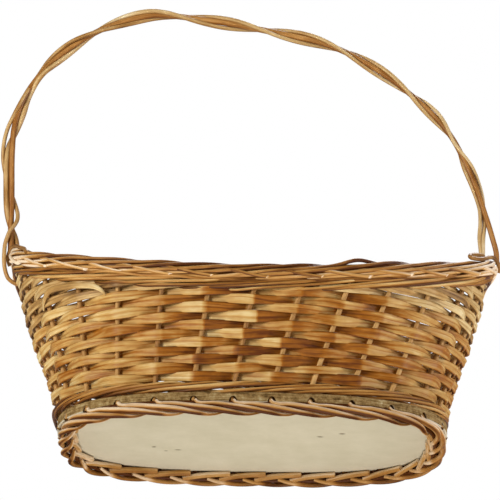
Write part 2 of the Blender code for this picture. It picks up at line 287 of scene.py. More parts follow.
# Stakes: straight golden willow rods a little over 3 mm thick that stand up through the board's
# holes, leaning to the right and outwards. The weave goes before and behind them; their lower ends
# turn away into the foot border and their tops are folded down into the rim.
STAKE_THICKNESS = 0.0033
STAKE_INSET = 0.0030
RIM_HEIGHT_END = 0.1322
RIM_HEIGHT_SIDE = 0.0936
RIM_END_TILT = 0.0016
RIM_END_ROUNDING = 0.1
SHOULDER_LIFT = 0.0035
UP = np.array((0.0, 0.0, 1.0))


def saddle(bay):
    """Share of the rim's rise: 0 at the middle of a long side, 1 at an end."""
    highest = math.hypot(1, RIM_END_ROUNDING)
    lowered = np.hypot(np.sin(rim_angle(bay)), RIM_END_ROUNDING)
    return (highest - lowered) / (highest - RIM_END_ROUNDING)


def stake_foot(bay):
    return board_edge_oval(STAKE_INSET, rim_angle(bay) - STAKE_LEAN, BOARD_TOP)


def stake_head(bay):
    angle = rim_angle(bay)
    end = RIM_HEIGHT_END - RIM_END_TILT * np.cos(angle) + SHOULDER_LIFT * right_shoulder(angle)
    return rim_oval(angle, RIM_HEIGHT_SIDE + (end - RIM_HEIGHT_SIDE) * saddle(bay) - RIM_THICKNESS / 2)


def unit(vectors):
    return vectors / np.linalg.norm(vectors, axis=-1, keepdims=True)


def swell(height, level, reach):
    """1 at a level of the wall and fading out above and below it."""
    return np.exp(-((height - level) / reach) ** 2)


def wall(bay, height, outward=0.0):
    """A place on the wall, set off outwards from the middle of the stakes, and the way up the wall."""
    given = (np.asarray(value, float) for value in (bay, height, outward))
    bay, height, outward = np.broadcast_arrays(*given)

    def middle(spot):
        foot, head = stake_foot(spot), stake_head(spot)
        share = (height - foot[..., 2]) / (head[..., 2] - foot[..., 2])
        return foot + (head - foot) * share[..., None]

    upward = unit(stake_head(bay) - stake_foot(bay))
    left = np.maximum(-np.cos(rim_angle(bay)), 0) ** 4
    right = np.maximum(np.cos(rim_angle(bay)), 0) ** 4
    outward = outward + left * (0.0016 * swell(height, 0.09, 0.02) - 0.0028 * swell(height, 0.042, 0.018))
    outward = outward - right * (0.0020 * swell(height, 0.045, 0.03) + 0.0030 * swell(height, 0.112, 0.008))
    out = unit(np.cross(middle(bay + 0.05) - middle(bay - 0.05), upward))
    return middle(bay) + outward[..., None] * out, upward


def through(keys, where):
    """Smooth values that pass through a few known ones; each key starts with where it lies."""
    keys = np.asarray(keys, float)
    spots, values = keys[:, 0], keys[:, 1:]
    slopes = np.gradient(values, spots, axis=0)
    first = np.clip(np.searchsorted(spots, where, side="right") - 1, 0, len(spots) - 2)
    span = (spots[first + 1] - spots[first])[:, None]
    share = (np.asarray(where) - spots[first])[:, None] / span
    return ((1 + 2 * share) * (1 - share) ** 2 * values[first]
            + share * (1 - share) ** 2 * span * slopes[first]
            + share ** 2 * (3 - 2 * share) * values[first + 1]
            + share ** 2 * (share - 1) * span * slopes[first + 1])


def drift(where, every, amount):
    """A slow random wander along a rod."""
    where = np.asarray(where, float)
    spots = np.arange(where.min() - every, where.max() + 2.5 * every, every)
    return through(np.column_stack((spots, chance.normal(0, amount, len(spots)))), where)[:, 0]


ROUND = [(math.sin(turn), math.cos(turn), 0) for turn in np.arange(10) * math.pi / 5]
# Round section with painted light and shade: paler on top and darker underneath, and dark on the side facing
# in, towards the rope's core or the wall, as painted shade between rods.
ROUND_PAINTED_LIGHT_AND_SHADE = [(rise, deep, 0.045 + 0.34 * rise if deep > 0.2 else -0.5) for rise, deep, shade in ROUND]


def willow_strand(path, upward, width, thickness, tint,
                  section=ROUND, wander=0.0, twist=0.0, slant=0.0, closed=False):
    """One willow rod or split strip: a flat grid rolled into a tube of the given section."""
    count, sides = len(path), len(section)
    steps = count if closed else count - 1
    bpy.ops.object.select_all(action="DESELECT")
    bpy.ops.mesh.primitive_grid_add(x_subdivisions=steps, y_subdivisions=sides, size=1, calc_uvs=True)
    strand = bpy.context.object
    mesh = strand.data
    flat = np.empty(len(mesh.vertices) * 3)
    mesh.vertices.foreach_get("co", flat)
    flat = flat.reshape(-1, 3)
    station = np.rint((flat[:, 0] + 0.5) * steps).astype(int) % count
    rise, deep, shade = np.array(section)[np.rint((flat[:, 1] + 0.5) * sides).astype(int) % sides].T

    after, before = np.roll(path, -1, axis=0), np.roll(path, 1, axis=0)
    if not closed:
        after[-1], before[0] = path[-1], path[0]
    along = unit(after - before)
    out = unit(np.cross(along, upward))
    across = np.cross(out, along)
    lean = np.broadcast_to(twist, count)[:, None]
    out, across = out * np.cos(lean) + across * np.sin(lean), across * np.cos(lean) - out * np.sin(lean)
    width, thickness = np.broadcast_to(width, count), np.broadcast_to(thickness, count)
    tint, wander = np.broadcast_to(tint, count), np.broadcast_to(wander, count)
    rise = rise + wander[station] * (1 - rise ** 2)
    placed = (path[station] + out[station] * (deep * thickness[station] / 2)[:, None]
              + across[station] * (rise * width[station] / 2)[:, None])
    placed -= along[station] * (slant * (station == count - 1) * deep * thickness[station] / 2)[:, None]
    mesh.vertices.foreach_set("co", placed.ravel())

    length = np.linalg.norm(np.diff(path, axis=0), axis=1).sum()
    spread = np.empty(len(mesh.loops) * 2)
    mesh.uv_layers.active.data.foreach_get("uv", spread)
    girth = 2 * (width.mean() + thickness.mean())
    spread = spread.reshape(-1, 2) * (length, girth) + chance.uniform(0, 3, 2)
    mesh.uv_layers.active.data.foreach_set("uv", spread.ravel())
    own_tint = mesh.attributes.new("tint", "FLOAT", "POINT")
    own_tint.data.foreach_set("value", (tint[station] + shade).astype(np.float32))
    mesh.update()
    return strand


def bind(name, strands, material, slot, *nodes):
    """Join strands into one piece, close their seams and ends, and hide the CAD nodes it stands for."""
    bpy.ops.object.select_all(action="DESELECT")
    for strand in strands:
        strand.select_set(True)
    bpy.context.view_layer.objects.active = strands[0]
    if len(strands) > 1:
        bpy.ops.object.join()
    piece = bpy.context.object
    piece.name = name
    piece.data.name = name
    bpy.ops.object.mode_set(mode="EDIT")
    bpy.ops.mesh.select_all(action="SELECT")
    bpy.ops.mesh.remove_doubles(threshold=0.000002)
    bpy.ops.mesh.fill_holes(sides=0)
    bpy.ops.mesh.select_all(action="SELECT")
    bpy.ops.mesh.normals_make_consistent(inside=False)
    bpy.ops.object.mode_set(mode="OBJECT")
    bpy.ops.object.shade_smooth_by_angle(angle=math.radians(55))
    piece.data.materials.append(material)
    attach(piece, "root")
    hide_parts(*nodes)


def willow(name, shades, grain_depth=0.25, roughness=0.45, splits=0.15):
    """Peeled willow: shades from the darkest to the palest, picked by grain, stains and each rod's tint."""
    material = bpy.data.materials.new(name)
    material.use_nodes = True
    shader = material.node_tree.nodes["Principled BSDF"]
    shader.inputs["Specular IOR Level"].default_value = 0.2
    on_rod = add_node(material, "ShaderNodeUVMap", uv_map="UVMap")

    def streaks(along, across, detail):
        stretch = add_node(material, "ShaderNodeVectorMath", operation="MULTIPLY")
        stretch.inputs[1].default_value = (along, across, 1)
        wire(material, on_rod.outputs["UV"], stretch.inputs[0])
        noise = add_node(material, "ShaderNodeTexNoise")
        noise.inputs["Scale"].default_value = 1
        noise.inputs["Detail"].default_value = detail
        noise.inputs["Roughness"].default_value = 0.6
        wire(material, stretch.outputs["Vector"], noise.inputs["Vector"])
        return noise.outputs["Fac"]

    def scaled(value, factor, offset):
        step = add_node(material, "ShaderNodeMath", operation="MULTIPLY_ADD")
        step.inputs[1].default_value = factor
        wire(material, value, step.inputs[0])
        if isinstance(offset, float):
            step.inputs[2].default_value = offset
        else:
            wire(material, offset, step.inputs[2])
        return step.outputs["Value"]

    fibres = streaks(32, 850, 4)
    stains = streaks(45, 110, 3)
    cracks = add_node(material, "ShaderNodeMapRange")
    cracks.inputs["From Min"].default_value = 0.30
    cracks.inputs["From Max"].default_value = 0.42
    cracks.inputs["To Min"].default_value = -splits
    cracks.inputs["To Max"].default_value = 0
    wire(material, streaks(20, 1100, 2), cracks.inputs["Value"])
    own_tint = add_node(material, "ShaderNodeAttribute", attribute_name="tint")
    shade = scaled(fibres, 0.7, -0.45)
    shade = scaled(stains, 0.9, shade)
    shade = scaled(own_tint.outputs["Fac"], 1.0, shade)
    shade = scaled(cracks.outputs["Result"], 1.0, shade)
    tones = add_node(material, "ShaderNodeValToRGB")
    ramp = tones.color_ramp
    while len(ramp.elements) < len(shades):
        ramp.elements.new(0.5)
    for number, (element, colour) in enumerate(zip(ramp.elements, shades)):
        element.position = number / (len(shades) - 1)
        element.color = linear(*colour)
    wire(material, scaled(shade, 1.0, 0.05), tones.inputs["Fac"])
    wire(material, tones.outputs["Color"], shader.inputs["Base Color"])

    gloss = add_node(material, "ShaderNodeMapRange")
    gloss.inputs["To Min"].default_value = roughness - 0.08
    gloss.inputs["To Max"].default_value = roughness + 0.12
    wire(material, stains, gloss.inputs["Value"])
    wire(material, gloss.outputs["Result"], shader.inputs["Roughness"])
    raised = add_node(material, "ShaderNodeBump")
    raised.inputs["Strength"].default_value = grain_depth
    raised.inputs["Distance"].default_value = 0.0004
    wire(material, scaled(cracks.outputs["Result"], 2.0, fibres), raised.inputs["Height"])
    wire(material, raised.outputs["Normal"], shader.inputs["Normal"])
    return material


stake_willow = willow("golden stake willow",
                      ((116, 74, 34), (166, 118, 62), (198, 154, 94), (220, 186, 130)))
for number in range(STAKES):
    top = float(stake_head(number)[2]) - 0.001
    heights = np.concatenate((np.linspace(0.0060, 0.018, 9), np.linspace(0.022, top, 22)))
    sway = number + drift(heights, 0.03, 0.012)
    path, upward = wall(sway, heights, drift(heights, 0.02, 0.00015))
    share = np.clip((0.0126 - heights) / 0.0030, 0, 1)[:, None]
    path[heights < BOARD_TOP, :2] = stake_foot(number)[:2]
    path[:, :2] += share * (stake_end(number, 0)[:2] - stake_foot(number)[:2])
    round_about = np.cross(unit(np.gradient(path, axis=0)), UP)
    thick = STAKE_THICKNESS * (chance.uniform(0.92, 1.06) + drift(heights, 0.03, 0.02))
    thick = thick * np.interp(heights, (0.012, 0.015), (0.85, 1))
    strand = willow_strand(path, round_about, thick, thick, chance.uniform(-0.15, 0.2))
    bind(f"stake_rod_{number + 1:02d}", [strand], stake_willow, "stake", f"stake_{number + 1:02d}")


# Foot border: the lower ends of the stakes, bent sideways under the board and plaited into a low
# ring that the basket stands on. Outside, each slants down across the next two bays; inside, cut
# ends lie along the ring and point the other way. Two rings stand for what lies between, coloured
# dark as painted shade.
FOOT_LENGTH = 0.240
FOOT_WIDTH = 0.1780
FOOT_SQUARENESS = 3.0
FOOT_ROD = 0.0039
FOOT_FILLER = 0.0030
FILLER_PAINTED_SHADE = -0.6
MILLIMETRE = 0.001
STROKE_COURSE = ((-0.02, -1.0, 10.0), (0.03, -0.6, 8.6), (0.12, 0.6, 7.5), (0.5, 1.8, 6.6),
                 (1.0, 2.8, 4.9), (1.5, 3.2, 3.0), (1.9, 1.2, 2.0), (2.2, -1.6, 1.8),
                 (2.45, -3.4, 2.2), (2.75, -4.6, 4.0))
TIP_COURSE = ((0, -3.2, 3.6), (0.35, -4.8, 5.2), (0.8, -5.8, 6.4), (1.35, -6.4, 7.0))
border_willow = willow("border willow",
                       ((84, 42, 8), (158, 106, 46), (194, 148, 86), (232, 208, 178)))


def under_board(bay, outward, height):
    """A place below the board, set off outwards from a ring a little squarer and shorter than its edge."""
    angle = rim_angle(bay) - STAKE_LEAN
    edge, ahead, behind = (oval(FOOT_LENGTH, FOOT_WIDTH, FOOT_SQUARENESS, angle + turn, 0)
                           for turn in (0, 0.01, -0.01))
    out = unit(np.cross(ahead - behind, UP))
    offset = out * np.asarray(outward)[:, None] + np.asarray(height)[:, None] * UP
    return edge + offset + (BOARD_SHIFT, 0, 0)


# Painted light and shade for the foot strokes: paler on top, and darker underneath and on the inner side
# where shade falls.
STROKE_PAINTED_LIGHT_AND_SHADE = [(rise, deep, -0.15 if deep < -0.2 else -0.6 if rise < -0.5 else 0.17 + 0.45 * rise)
        for rise, deep, shade in ROUND]
# Painted shade for the cut tips: darker underneath and a little paler elsewhere.
TIP_PAINTED_UNDER_SHADE = [(rise, deep, 0.1 if rise > -0.3 else -0.25) for rise, deep, shade in ROUND]
strokes = []
for number in range(STAKES):
    travel = np.concatenate((np.linspace(-0.02, 0.3, 14), np.linspace(0.36, 2.74, 36)))
    across, height = through(STROKE_COURSE, travel).T * MILLIMETRE
    thick = FOOT_ROD * np.interp(travel, (0, 0.2, 0.5, 1.5, 2.1, 2.7), (0.8, 0.9, 1, 1, 0.85, 0.6))
    thick = thick * chance.uniform(0.9, 1.06)
    path = under_board(number + travel, across + drift(travel, 0.8, 0.0002),
                       height + drift(travel, 0.8, 0.0002) * (travel > 0.2))
    path[:, 2] = np.maximum(path[:, 2], thick / 2)
    # Painted light: paler towards both ends of the basket, where the side lamps fall.
    painted_end_light_and_cut_face = 0.25 * np.clip((np.abs(path[:, 0]) - 0.1) / 0.02, 0, 1)
    # Painted shade: each stroke grows darker along its lower run, where it turns down and away from the
    # light.
    tint = chance.uniform(-0.1, 0.3) - 0.1 * np.clip((travel - 1.1) / 0.8, 0, 1)
    tint = tint + 0.45 * np.clip((travel - 2.1) / 0.2, 0, 1) + painted_end_light_and_cut_face
    strokes.append(willow_strand(path, UP, thick, thick, tint, section=STROKE_PAINTED_LIGHT_AND_SHADE))
ring = np.linspace(0, STAKES, STAKES * 6, endpoint=False)
for across, height, tall in ((-0.0024, 0.0080, 0.0044), (-0.0018, 0.0044, 0.0036)):
    path = under_board(ring, np.full(len(ring), across), np.full(len(ring), height))
    strokes.append(willow_strand(path, UP, tall, FOOT_FILLER, FILLER_PAINTED_SHADE, closed=True))
bind("foot_plait_strokes", strokes, border_willow, "border", "foot_border")

tips = []
for number in range(STAKES):
    travel = np.linspace(0, chance.uniform(1.18, 1.32), 18)
    across, height = through(TIP_COURSE, travel).T * MILLIMETRE
    thick = FOOT_ROD * np.interp(travel, (0, 0.4), (0.8, 0.95)) * chance.uniform(0.9, 1.06)
    path = under_board(number + 0.4 - travel, across, height)
    # Painted light: paler towards both ends of the basket, where the side lamps fall.
    painted_end_light_and_cut_face = 0.3 * np.clip((np.abs(path[:, 0]) - 0.09) / 0.02, 0, 1)
    tint = chance.uniform(0.18, 0.42) + painted_end_light_and_cut_face
    tips.append(willow_strand(path, UP, thick, thick, tint, section=TIP_PAINTED_UNDER_SHADE))
bind("foot_plait_tips", tips, border_willow, "border", "foot_border")


# Lower wale: four willow rods worked round together just above the board, each before three stakes
# and behind the next. The rods climb to the right over each other and lock the stakes' spacing.
WALE_RODS = 4
WALE_SWING = 0.0031
WALE_ABOVE_BOARD = 0.0037
LOWER_WALE_CLIMB = 0.0026
LOWER_WALE_ROD = 0.0023
WALE_COURSE = ((0, 1, -0.7), (0.5, 1.15, -0.35), (1, 1.15, 0), (1.5, 1.15, 0.35), (2, 1, 0.7),
               (2.5, 0.1, 1), (3, -1, 0), (3.5, 0.1, -1))
wale_willow = willow("wale willow",
                     ((80, 42, 10), (142, 90, 32), (184, 136, 72), (218, 186, 126)), splits=0.4)


def wale(name, level, climb, rod, *nodes):
    rods = []
    for number in range(WALE_RODS):
        bays = STAKES / 2 + np.linspace(0, STAKES, STAKES * 8, endpoint=False)
        keys = [(WALE_RODS * turn + spot, *values) for turn in (-1, 0, 1) for spot, *values in WALE_COURSE]
        keys.append((2 * WALE_RODS, *WALE_COURSE[0][1:]))
        out, rise = through(keys, (bays + number) % WALE_RODS).T
        fade = np.minimum(1, np.minimum(bays - bays[0], bays[-1] - bays))
        path, upward = wall(bays, level(bays) + climb * rise + drift(bays, 1.1, 0.00025) * fade,
                            out * WALE_SWING + drift(bays, 1.1, 0.0002) * fade)
        thick = rod * (1 + drift(bays, 1.5, 0.08) * fade)
        tint = chance.normal(-0.02, 0.1) + drift(bays, 1.5, 0.2) * fade
        # The wale rods take the round section with painted light and shade.
        rods.append(willow_strand(path, upward, thick, thick, tint, section=ROUND_PAINTED_LIGHT_AND_SHADE, closed=True))
    bind(name, rods, wale_willow, "weaver", *nodes)


wale("lower_wale_rods", lambda bays: np.full(len(bays), BOARD_TOP + WALE_ABOVE_BOARD),
     LOWER_WALE_CLIMB, LOWER_WALE_ROD, "lower_wale_rod_a", "lower_wale_rod_b")


# Weaver rows: flat split-willow strips, each woven before one stake and behind the next and
# beaten down tight, with the next row the other way about. Each strip keeps the split's shallow
# groove, drawn darker along its middle and edges as painted shade, and has painted light: pale
# where it turns to the light and deep orange where it turns away.
WEAVER_ROWS = 11
WEAVER_SWING = 0.0033
WEAVER_THICKNESS = 0.0018
ROWS_BOTTOM = 0.0232
ROW_PITCH = 0.00520
ROW_END_SQUEEZE = 0.14
WAVE_SHARPNESS = 0.985
row_willow = willow("split weaver willow",
                    ((88, 40, 2), (148, 88, 18), (188, 148, 84), (220, 200, 148)), grain_depth=0.4)
# The split section's third values are painted shade: a darker line down the middle groove and darker edges
# where the rows meet.
SPLIT = ((0, 0.75, -0.12), (0.18, 0.92, 0), (0.5, 1.0, 0.05), (0.84, 0.98, 0.02), (0.97, 0.7, -0.15),
         (1.0, 0, -0.3), (0.96, -0.6, -0.3), (0.8, -0.96, -0.2))
SPLIT = SPLIT + ((0, -1, 0),) + tuple((-rise, deep, shade) for rise, deep, shade in SPLIT[:0:-1])


def row_level(bay, row):
    return ROWS_BOTTOM + row * ROW_PITCH * (1 - ROW_END_SQUEEZE * saddle(bay))


def sharp_wave(bay):
    """A wave with nearly flat flanks and round crests: 1 before a stake, -1 behind the next."""
    return np.arcsin(WAVE_SHARPNESS * np.cos(math.pi * np.asarray(bay))) / math.asin(WAVE_SHARPNESS)


row_bays = STAKES / 2 + np.linspace(0, STAKES, STAKES * 14, endpoint=False)
fade = np.minimum(1, np.minimum(row_bays - row_bays[0], row_bays[-1] - row_bays))
edges = [row_level(row_bays, row) + drift(row_bays, 0.9, 0.00035) * fade * (0 < row < WEAVER_ROWS)
         for row in range(WEAVER_ROWS + 1)]
for row in range(WEAVER_ROWS):
    low, high = edges[row], edges[row + 1]
    wave = sharp_wave(row_bays + row + 1)
    swing = WEAVER_SWING * (1 + drift(row_bays, 1.0, 0.05) * fade)
    path, upward = wall(row_bays, (low + high) / 2, swing * wave)
    thick = WEAVER_THICKNESS * (1 + drift(row_bays, 0.8, 0.06) * fade)
    # Painted light: a strip is paler where it turns towards the left lamp and deeper orange where it turns
    # away; on the right part the sense flips, as the right lamp wins there, and it fades out towards both
    # ends.
    turning = np.gradient(sharp_wave(row_bays + row + 1 + drift(row_bays, 1.0, 0.07) * fade))
    painted_turn_light = np.tanh(40 * np.gradient(path[:, 0]) / 0.0022 * turning)
    painted_turn_light = painted_turn_light * np.tanh((0.04 - path[:, 0]) / 0.02) * np.clip((path[:, 0] + 0.08) / 0.05, 0, 1)
    painted_turn_light = painted_turn_light * np.interp(path[:, 0], (0.03, 0.06, 0.1), (1, 0.75, 0))
    painted_turn_light = painted_turn_light * (1 + drift(row_bays, 0.8, 0.25) * fade)
    # Painted light: the strips are paler towards both ends of the basket, most at the left.
    painted_row_end_light = np.interp(path[:, 0], (-0.13, -0.09, -0.04, 0.07, 0.11), (0.26, 0.14, 0, 0, 0.14))
    tint = chance.normal(0, 0.04) + drift(row_bays, 1.2, 0.08) * fade + 0.24 * painted_turn_light + painted_row_end_light
    tint = np.maximum(tint, -0.3)
    full = 1.15 - 0.10 * np.clip((np.abs(path[:, 0]) - 0.09) / 0.04, 0, 1)
    width = (high - low) * (full + 0.18 * wave)
    wander = drift(row_bays, 0.6, 0.2) * fade
    twist = drift(row_bays, 0.7, 0.07) * fade
    strip = willow_strand(path, upward, width, thick, tint, SPLIT, wander, twist, closed=True)
    bind(f"row_strip_{row + 1:02d}", [strip], row_willow, "weaver", f"weaver_row_{row + 1:02d}")


# Packing: paler, thinner split-willow skeins woven at each end only, to fill the wall up to where
# the rim rises. Each goes a few stakes to either side and ends under the wale; one near the left
# end is turned back over the weave in plain sight.
PACKING_STRIPS = 4
SKEINS_PER_STRIP = 3
SKEIN_SWING = 0.0028
SKEIN_THICKNESS = 0.0016
SKEIN_LEAST_WIDTH = 0.0008
LEAST_ROOM = 0.0010
WALE_BELOW_RIM = 0.0078
TURNED_THICKNESS = 0.0040
TURNED_WIDTH = 0.0014
TURNED_BACK = ((0, 22.9, 79, 3.0), (1, 23.07, 84, 4.6), (2, 23.33, 88.2, 5), (3, 23.81, 87.7, 5),
               (4, 24.23, 86.3, 5), (5, 24.52, 84.6, 5), (6, 24.69, 81.7, 4.4), (7, 24.76, 78.5, 2.8))
packing_willow = willow("pale packing willow",
                        ((96, 62, 26), (170, 130, 74), (208, 181, 128), (232, 216, 176)), grain_depth=0.4)


def wale_level(bay):
    return stake_head(bay)[..., 2] - WALE_BELOW_RIM


for side, end in (("right", STAKES / 4 - STAKE_START), ("left", 3 * STAKES / 4 - STAKE_START)):
    wedge = float(wale_level(end) - row_level(end, WEAVER_ROWS))
    skein = wedge / (SKEINS_PER_STRIP * PACKING_STRIPS)
    scan = np.linspace(0, 6.2, 621)
    for strip in range(PACKING_STRIPS):
        skeins = []
        for course in range(SKEINS_PER_STRIP * strip, SKEINS_PER_STRIP * (strip + 1)):
            room = wale_level(end + scan) - row_level(end + scan, WEAVER_ROWS) - course * skein
            reach = scan[room > LEAST_ROOM].max() - chance.uniform(0, 0.15)
            left, right = end - reach, end + reach
            bays = np.linspace(left, right, int(14 * (right - left)) + 8)
            low = row_level(bays, WEAVER_ROWS) + course * skein + drift(bays, 0.9, 0.0003)
            high = np.minimum(low + skein, wale_level(bays))
            wave = sharp_wave(bays + WEAVER_ROWS + 1 + course)
            path, upward = wall(bays, (low + high) / 2, SKEIN_SWING * wave)
            width = np.maximum(high - low, SKEIN_LEAST_WIDTH) * (1.18 + 0.18 * wave)
            tint = chance.uniform(-0.15, 0.12) + drift(bays, 1.0, 0.1)
            wander = drift(bays, 0.6, 0.2)
            twist = drift(bays, 0.7, 0.12)
            skeins.append(willow_strand(path, upward, width, SKEIN_THICKNESS, tint, SPLIT, wander, twist))
        if (side, strip) == ("left", PACKING_STRIPS - 1):
            turn = np.linspace(0, 7, 46)
            bays, height, outward = through(TURNED_BACK, turn).T
            path, upward = wall(bays, height * MILLIMETRE, outward * MILLIMETRE)
            flatwise = np.cross(unit(np.gradient(path, axis=0)), upward)
            thick = TURNED_THICKNESS * np.interp(turn, (0, 1.5, 5, 7), (0.7, 1, 0.85, 0.4))
            tint = 0.08 + drift(turn, 1.5, 0.1)
            skeins.append(willow_strand(path, flatwise, TURNED_WIDTH, thick, tint))
        bind(f"packing_skeins_{side}_{strip + 1}", skeins, packing_willow, "packing",
             f"packing_{side}_{strip + 1}")


# Upper wale: four more rods worked round just under the rim, following its rise to the ends.
# They hold the packing down and keep the stakes in place while the rim is folded.
UPPER_WALE_CLIMB = 0.0029
UPPER_WALE_ROD = 0.0021
wale("upper_wale_rods", wale_level, UPPER_WALE_CLIMB, UPPER_WALE_ROD, "upper_wale_rod_a", "upper_wale_rod_b")


# Rim border: the tops of the stakes, folded down to the right and rolled into a rope. Each climbs the
# outside over three bays and goes over the top; its end comes out lower down and stops in a slanting
# cut. One is lifted a little. Plain rods stand for what is rolled up inside and underneath, coloured
# dark as painted shade.
RIM_ROD = 0.0024
RIM_NARROWED = 0.9
RIM_TALLER = 1.15
LIFTED = 26
LIFT = 0.0024
CUT_SLANT = 1.8
CUT_END = ((0, 20, 1.5), (0.4, -5, 3.9), (0.8, -28, 4.7), (1.35, -52, 5.0))
ROLLED = ((0, -95, 3.5), (0.4, -66, 3.7), (1, -45, 3.8), (2, -12, 3.8), (3, 25, 3.8), (3.6, 52, 3.8),
          (4.1, 88, 4.0), (4.6, 128, 4.0), (5.3, 180, 3.7), (6.1, 240, 3.4), (6.5, 270, 2.0))
RIM_FILLERS = ((0, 0, 0.0052), (90, 0.0026, 0.0036), (-112, 0.0052, 0.0044), (-128, 0.0078, 0.0044))
SWAYING_FILLERS = 3
SWAYING_FILLER = 0.0022


def round_rim(bay, roll, reach):
    """A place round the rim's middle; the rim is taller than wide. Roll 0 is outside, 90 on top."""
    middle = stake_head(bay)
    along = unit(stake_head(np.asarray(bay) + 0.05) - stake_head(np.asarray(bay) - 0.05))
    out = unit(np.cross(along, UP))
    over = np.cross(out, along)
    turn = np.radians(roll)[:, None]
    offset = RIM_NARROWED * out * np.cos(turn) + RIM_TALLER * over * np.sin(turn)
    return middle + np.asarray(reach)[:, None] * offset


rim_rods = []
for number in range(STAKES):
    for keys, slant in ((ROLLED, 0), (CUT_END, CUT_SLANT)):
        whole = keys[-1][0]
        travel = np.linspace(0, whole - (chance.uniform(0, 0.25) if slant else 0), 18 * round(whole))
        roll, reach = through(keys, travel).T
        thick = RIM_ROD * np.interp(travel, (0, 3, 5), (1.05, 1.0, 0.9)) * chance.uniform(0.84, 1.14)
        bays = number + 0.35 * chance.normal(0, 0.3) + travel
        path = round_rim(bays, roll + drift(travel, 1.0, 5), reach * MILLIMETRE + drift(travel, 1.0, 0.0002))
        upward = unit(np.cross(path - stake_head(bays), np.gradient(path, axis=0)))
        # Painted light towards both ends of the basket; the slanting cut face gets its own paler wood
        # colour.
        painted_end_light_and_cut_face = np.interp(np.abs(path[:, 0]), (0.05, 0.1, 0.13, 0.155), (0, 0.08, 0.1, 0.75))
        if slant:
            painted_end_light_and_cut_face[-1] += 0.6
        elif number == LIFTED:
            path[:, 2] += LIFT * np.exp(-((travel - 4.0) / 0.36) ** 2)
        tint = chance.uniform(-0.31, 0.14) + painted_end_light_and_cut_face
        # The rim rods take the round section with painted light and shade.
        rim_rods.append(willow_strand(path, upward, thick, thick, tint, section=ROUND_PAINTED_LIGHT_AND_SHADE, slant=slant))
# Filler rods coloured dark as painted shade inside the rolled rope.
for roll, reach, thick in RIM_FILLERS:
    path = round_rim(ring, np.full(len(ring), roll), np.full(len(ring), reach))
    rim_rods.append(willow_strand(path, UP, thick, thick, -0.4, closed=True))
for number in range(SWAYING_FILLERS):
    sway = drift(ring, 0.8, 22) * np.minimum(1, np.minimum(ring, STAKES - ring))
    path = round_rim(ring, -88 + sway, 0.0036 + 0.0009 * number - 0.00001 * sway)
    tint = -0.3 + 0.01 * sway
    rim_rods.append(willow_strand(path, UP, SWAYING_FILLER, SWAYING_FILLER, tint, closed=True))
bind("rim_rolled_rods", rim_rods, border_willow, "border", "rim_border")


# Handle: three willow rods bent together into an arch over the basket. Two are wound round the third
# in long open turns, so they cross about every five centimetres. At the feet they spread: one hooks
# round the outside of the rim on the left, and the others go down into the rim and the weave.
HANDLE_ROD = 0.0031
HANDLE_WINDING = 0.0031
HANDLE_STEPS = 300
GIRTHS = {"core": (1.25, 1.35, 1.1), "wrap_outer": (0.88, 0.9, 0.9), "wrap_inner": (1.25, 0.85, 0.85)}
handle_willow = willow("handle willow",
                       ((92, 52, 16), (166, 120, 64), (208, 174, 120), (238, 222, 186)), roughness=0.36)
# The core rod's willow is a darker, more orange copy of the handle willow: partly its own colour, partly
# painted shade between the wraps.
core_willow_painted_shade = willow("handle core willow with painted shade",
                     ((84, 42, 8), (146, 92, 38), (190, 138, 76), (224, 188, 132)), roughness=0.36)
arch = np.array(((-151.8, 244.0), (-137.2, 263.7), (-117.7, 280.3), (-94.8, 292.7), (-71.6, 299.2),
                 (-38.3, 297.3), (4.4, 290.2), (54.4, 277.7), (80.4, 263.3), (100.4, 248.2), (129, 217.9),
                 (140.6, 194.5))) * MILLIMETRE
passed = np.concatenate(((0,), np.cumsum(np.linalg.norm(np.diff(arch, axis=0), axis=1))))
stations = np.linspace(0.018, passed[-1] - 0.024, 60)
arch_line = through(np.column_stack((passed, arch[:, 0], 0 * passed, arch[:, 1])), stations)
away = np.cross(unit(np.gradient(arch_line, axis=0)), (0.0, 1.0, 0.0))
toward = np.array((0.0, -1.0, 0.0))
crossings = np.array((-46, 8, 57, 116, 170, 225, 281, 322, 374)) * MILLIMETRE
half_turns = np.interp(stations, crossings, np.arange(len(crossings)))
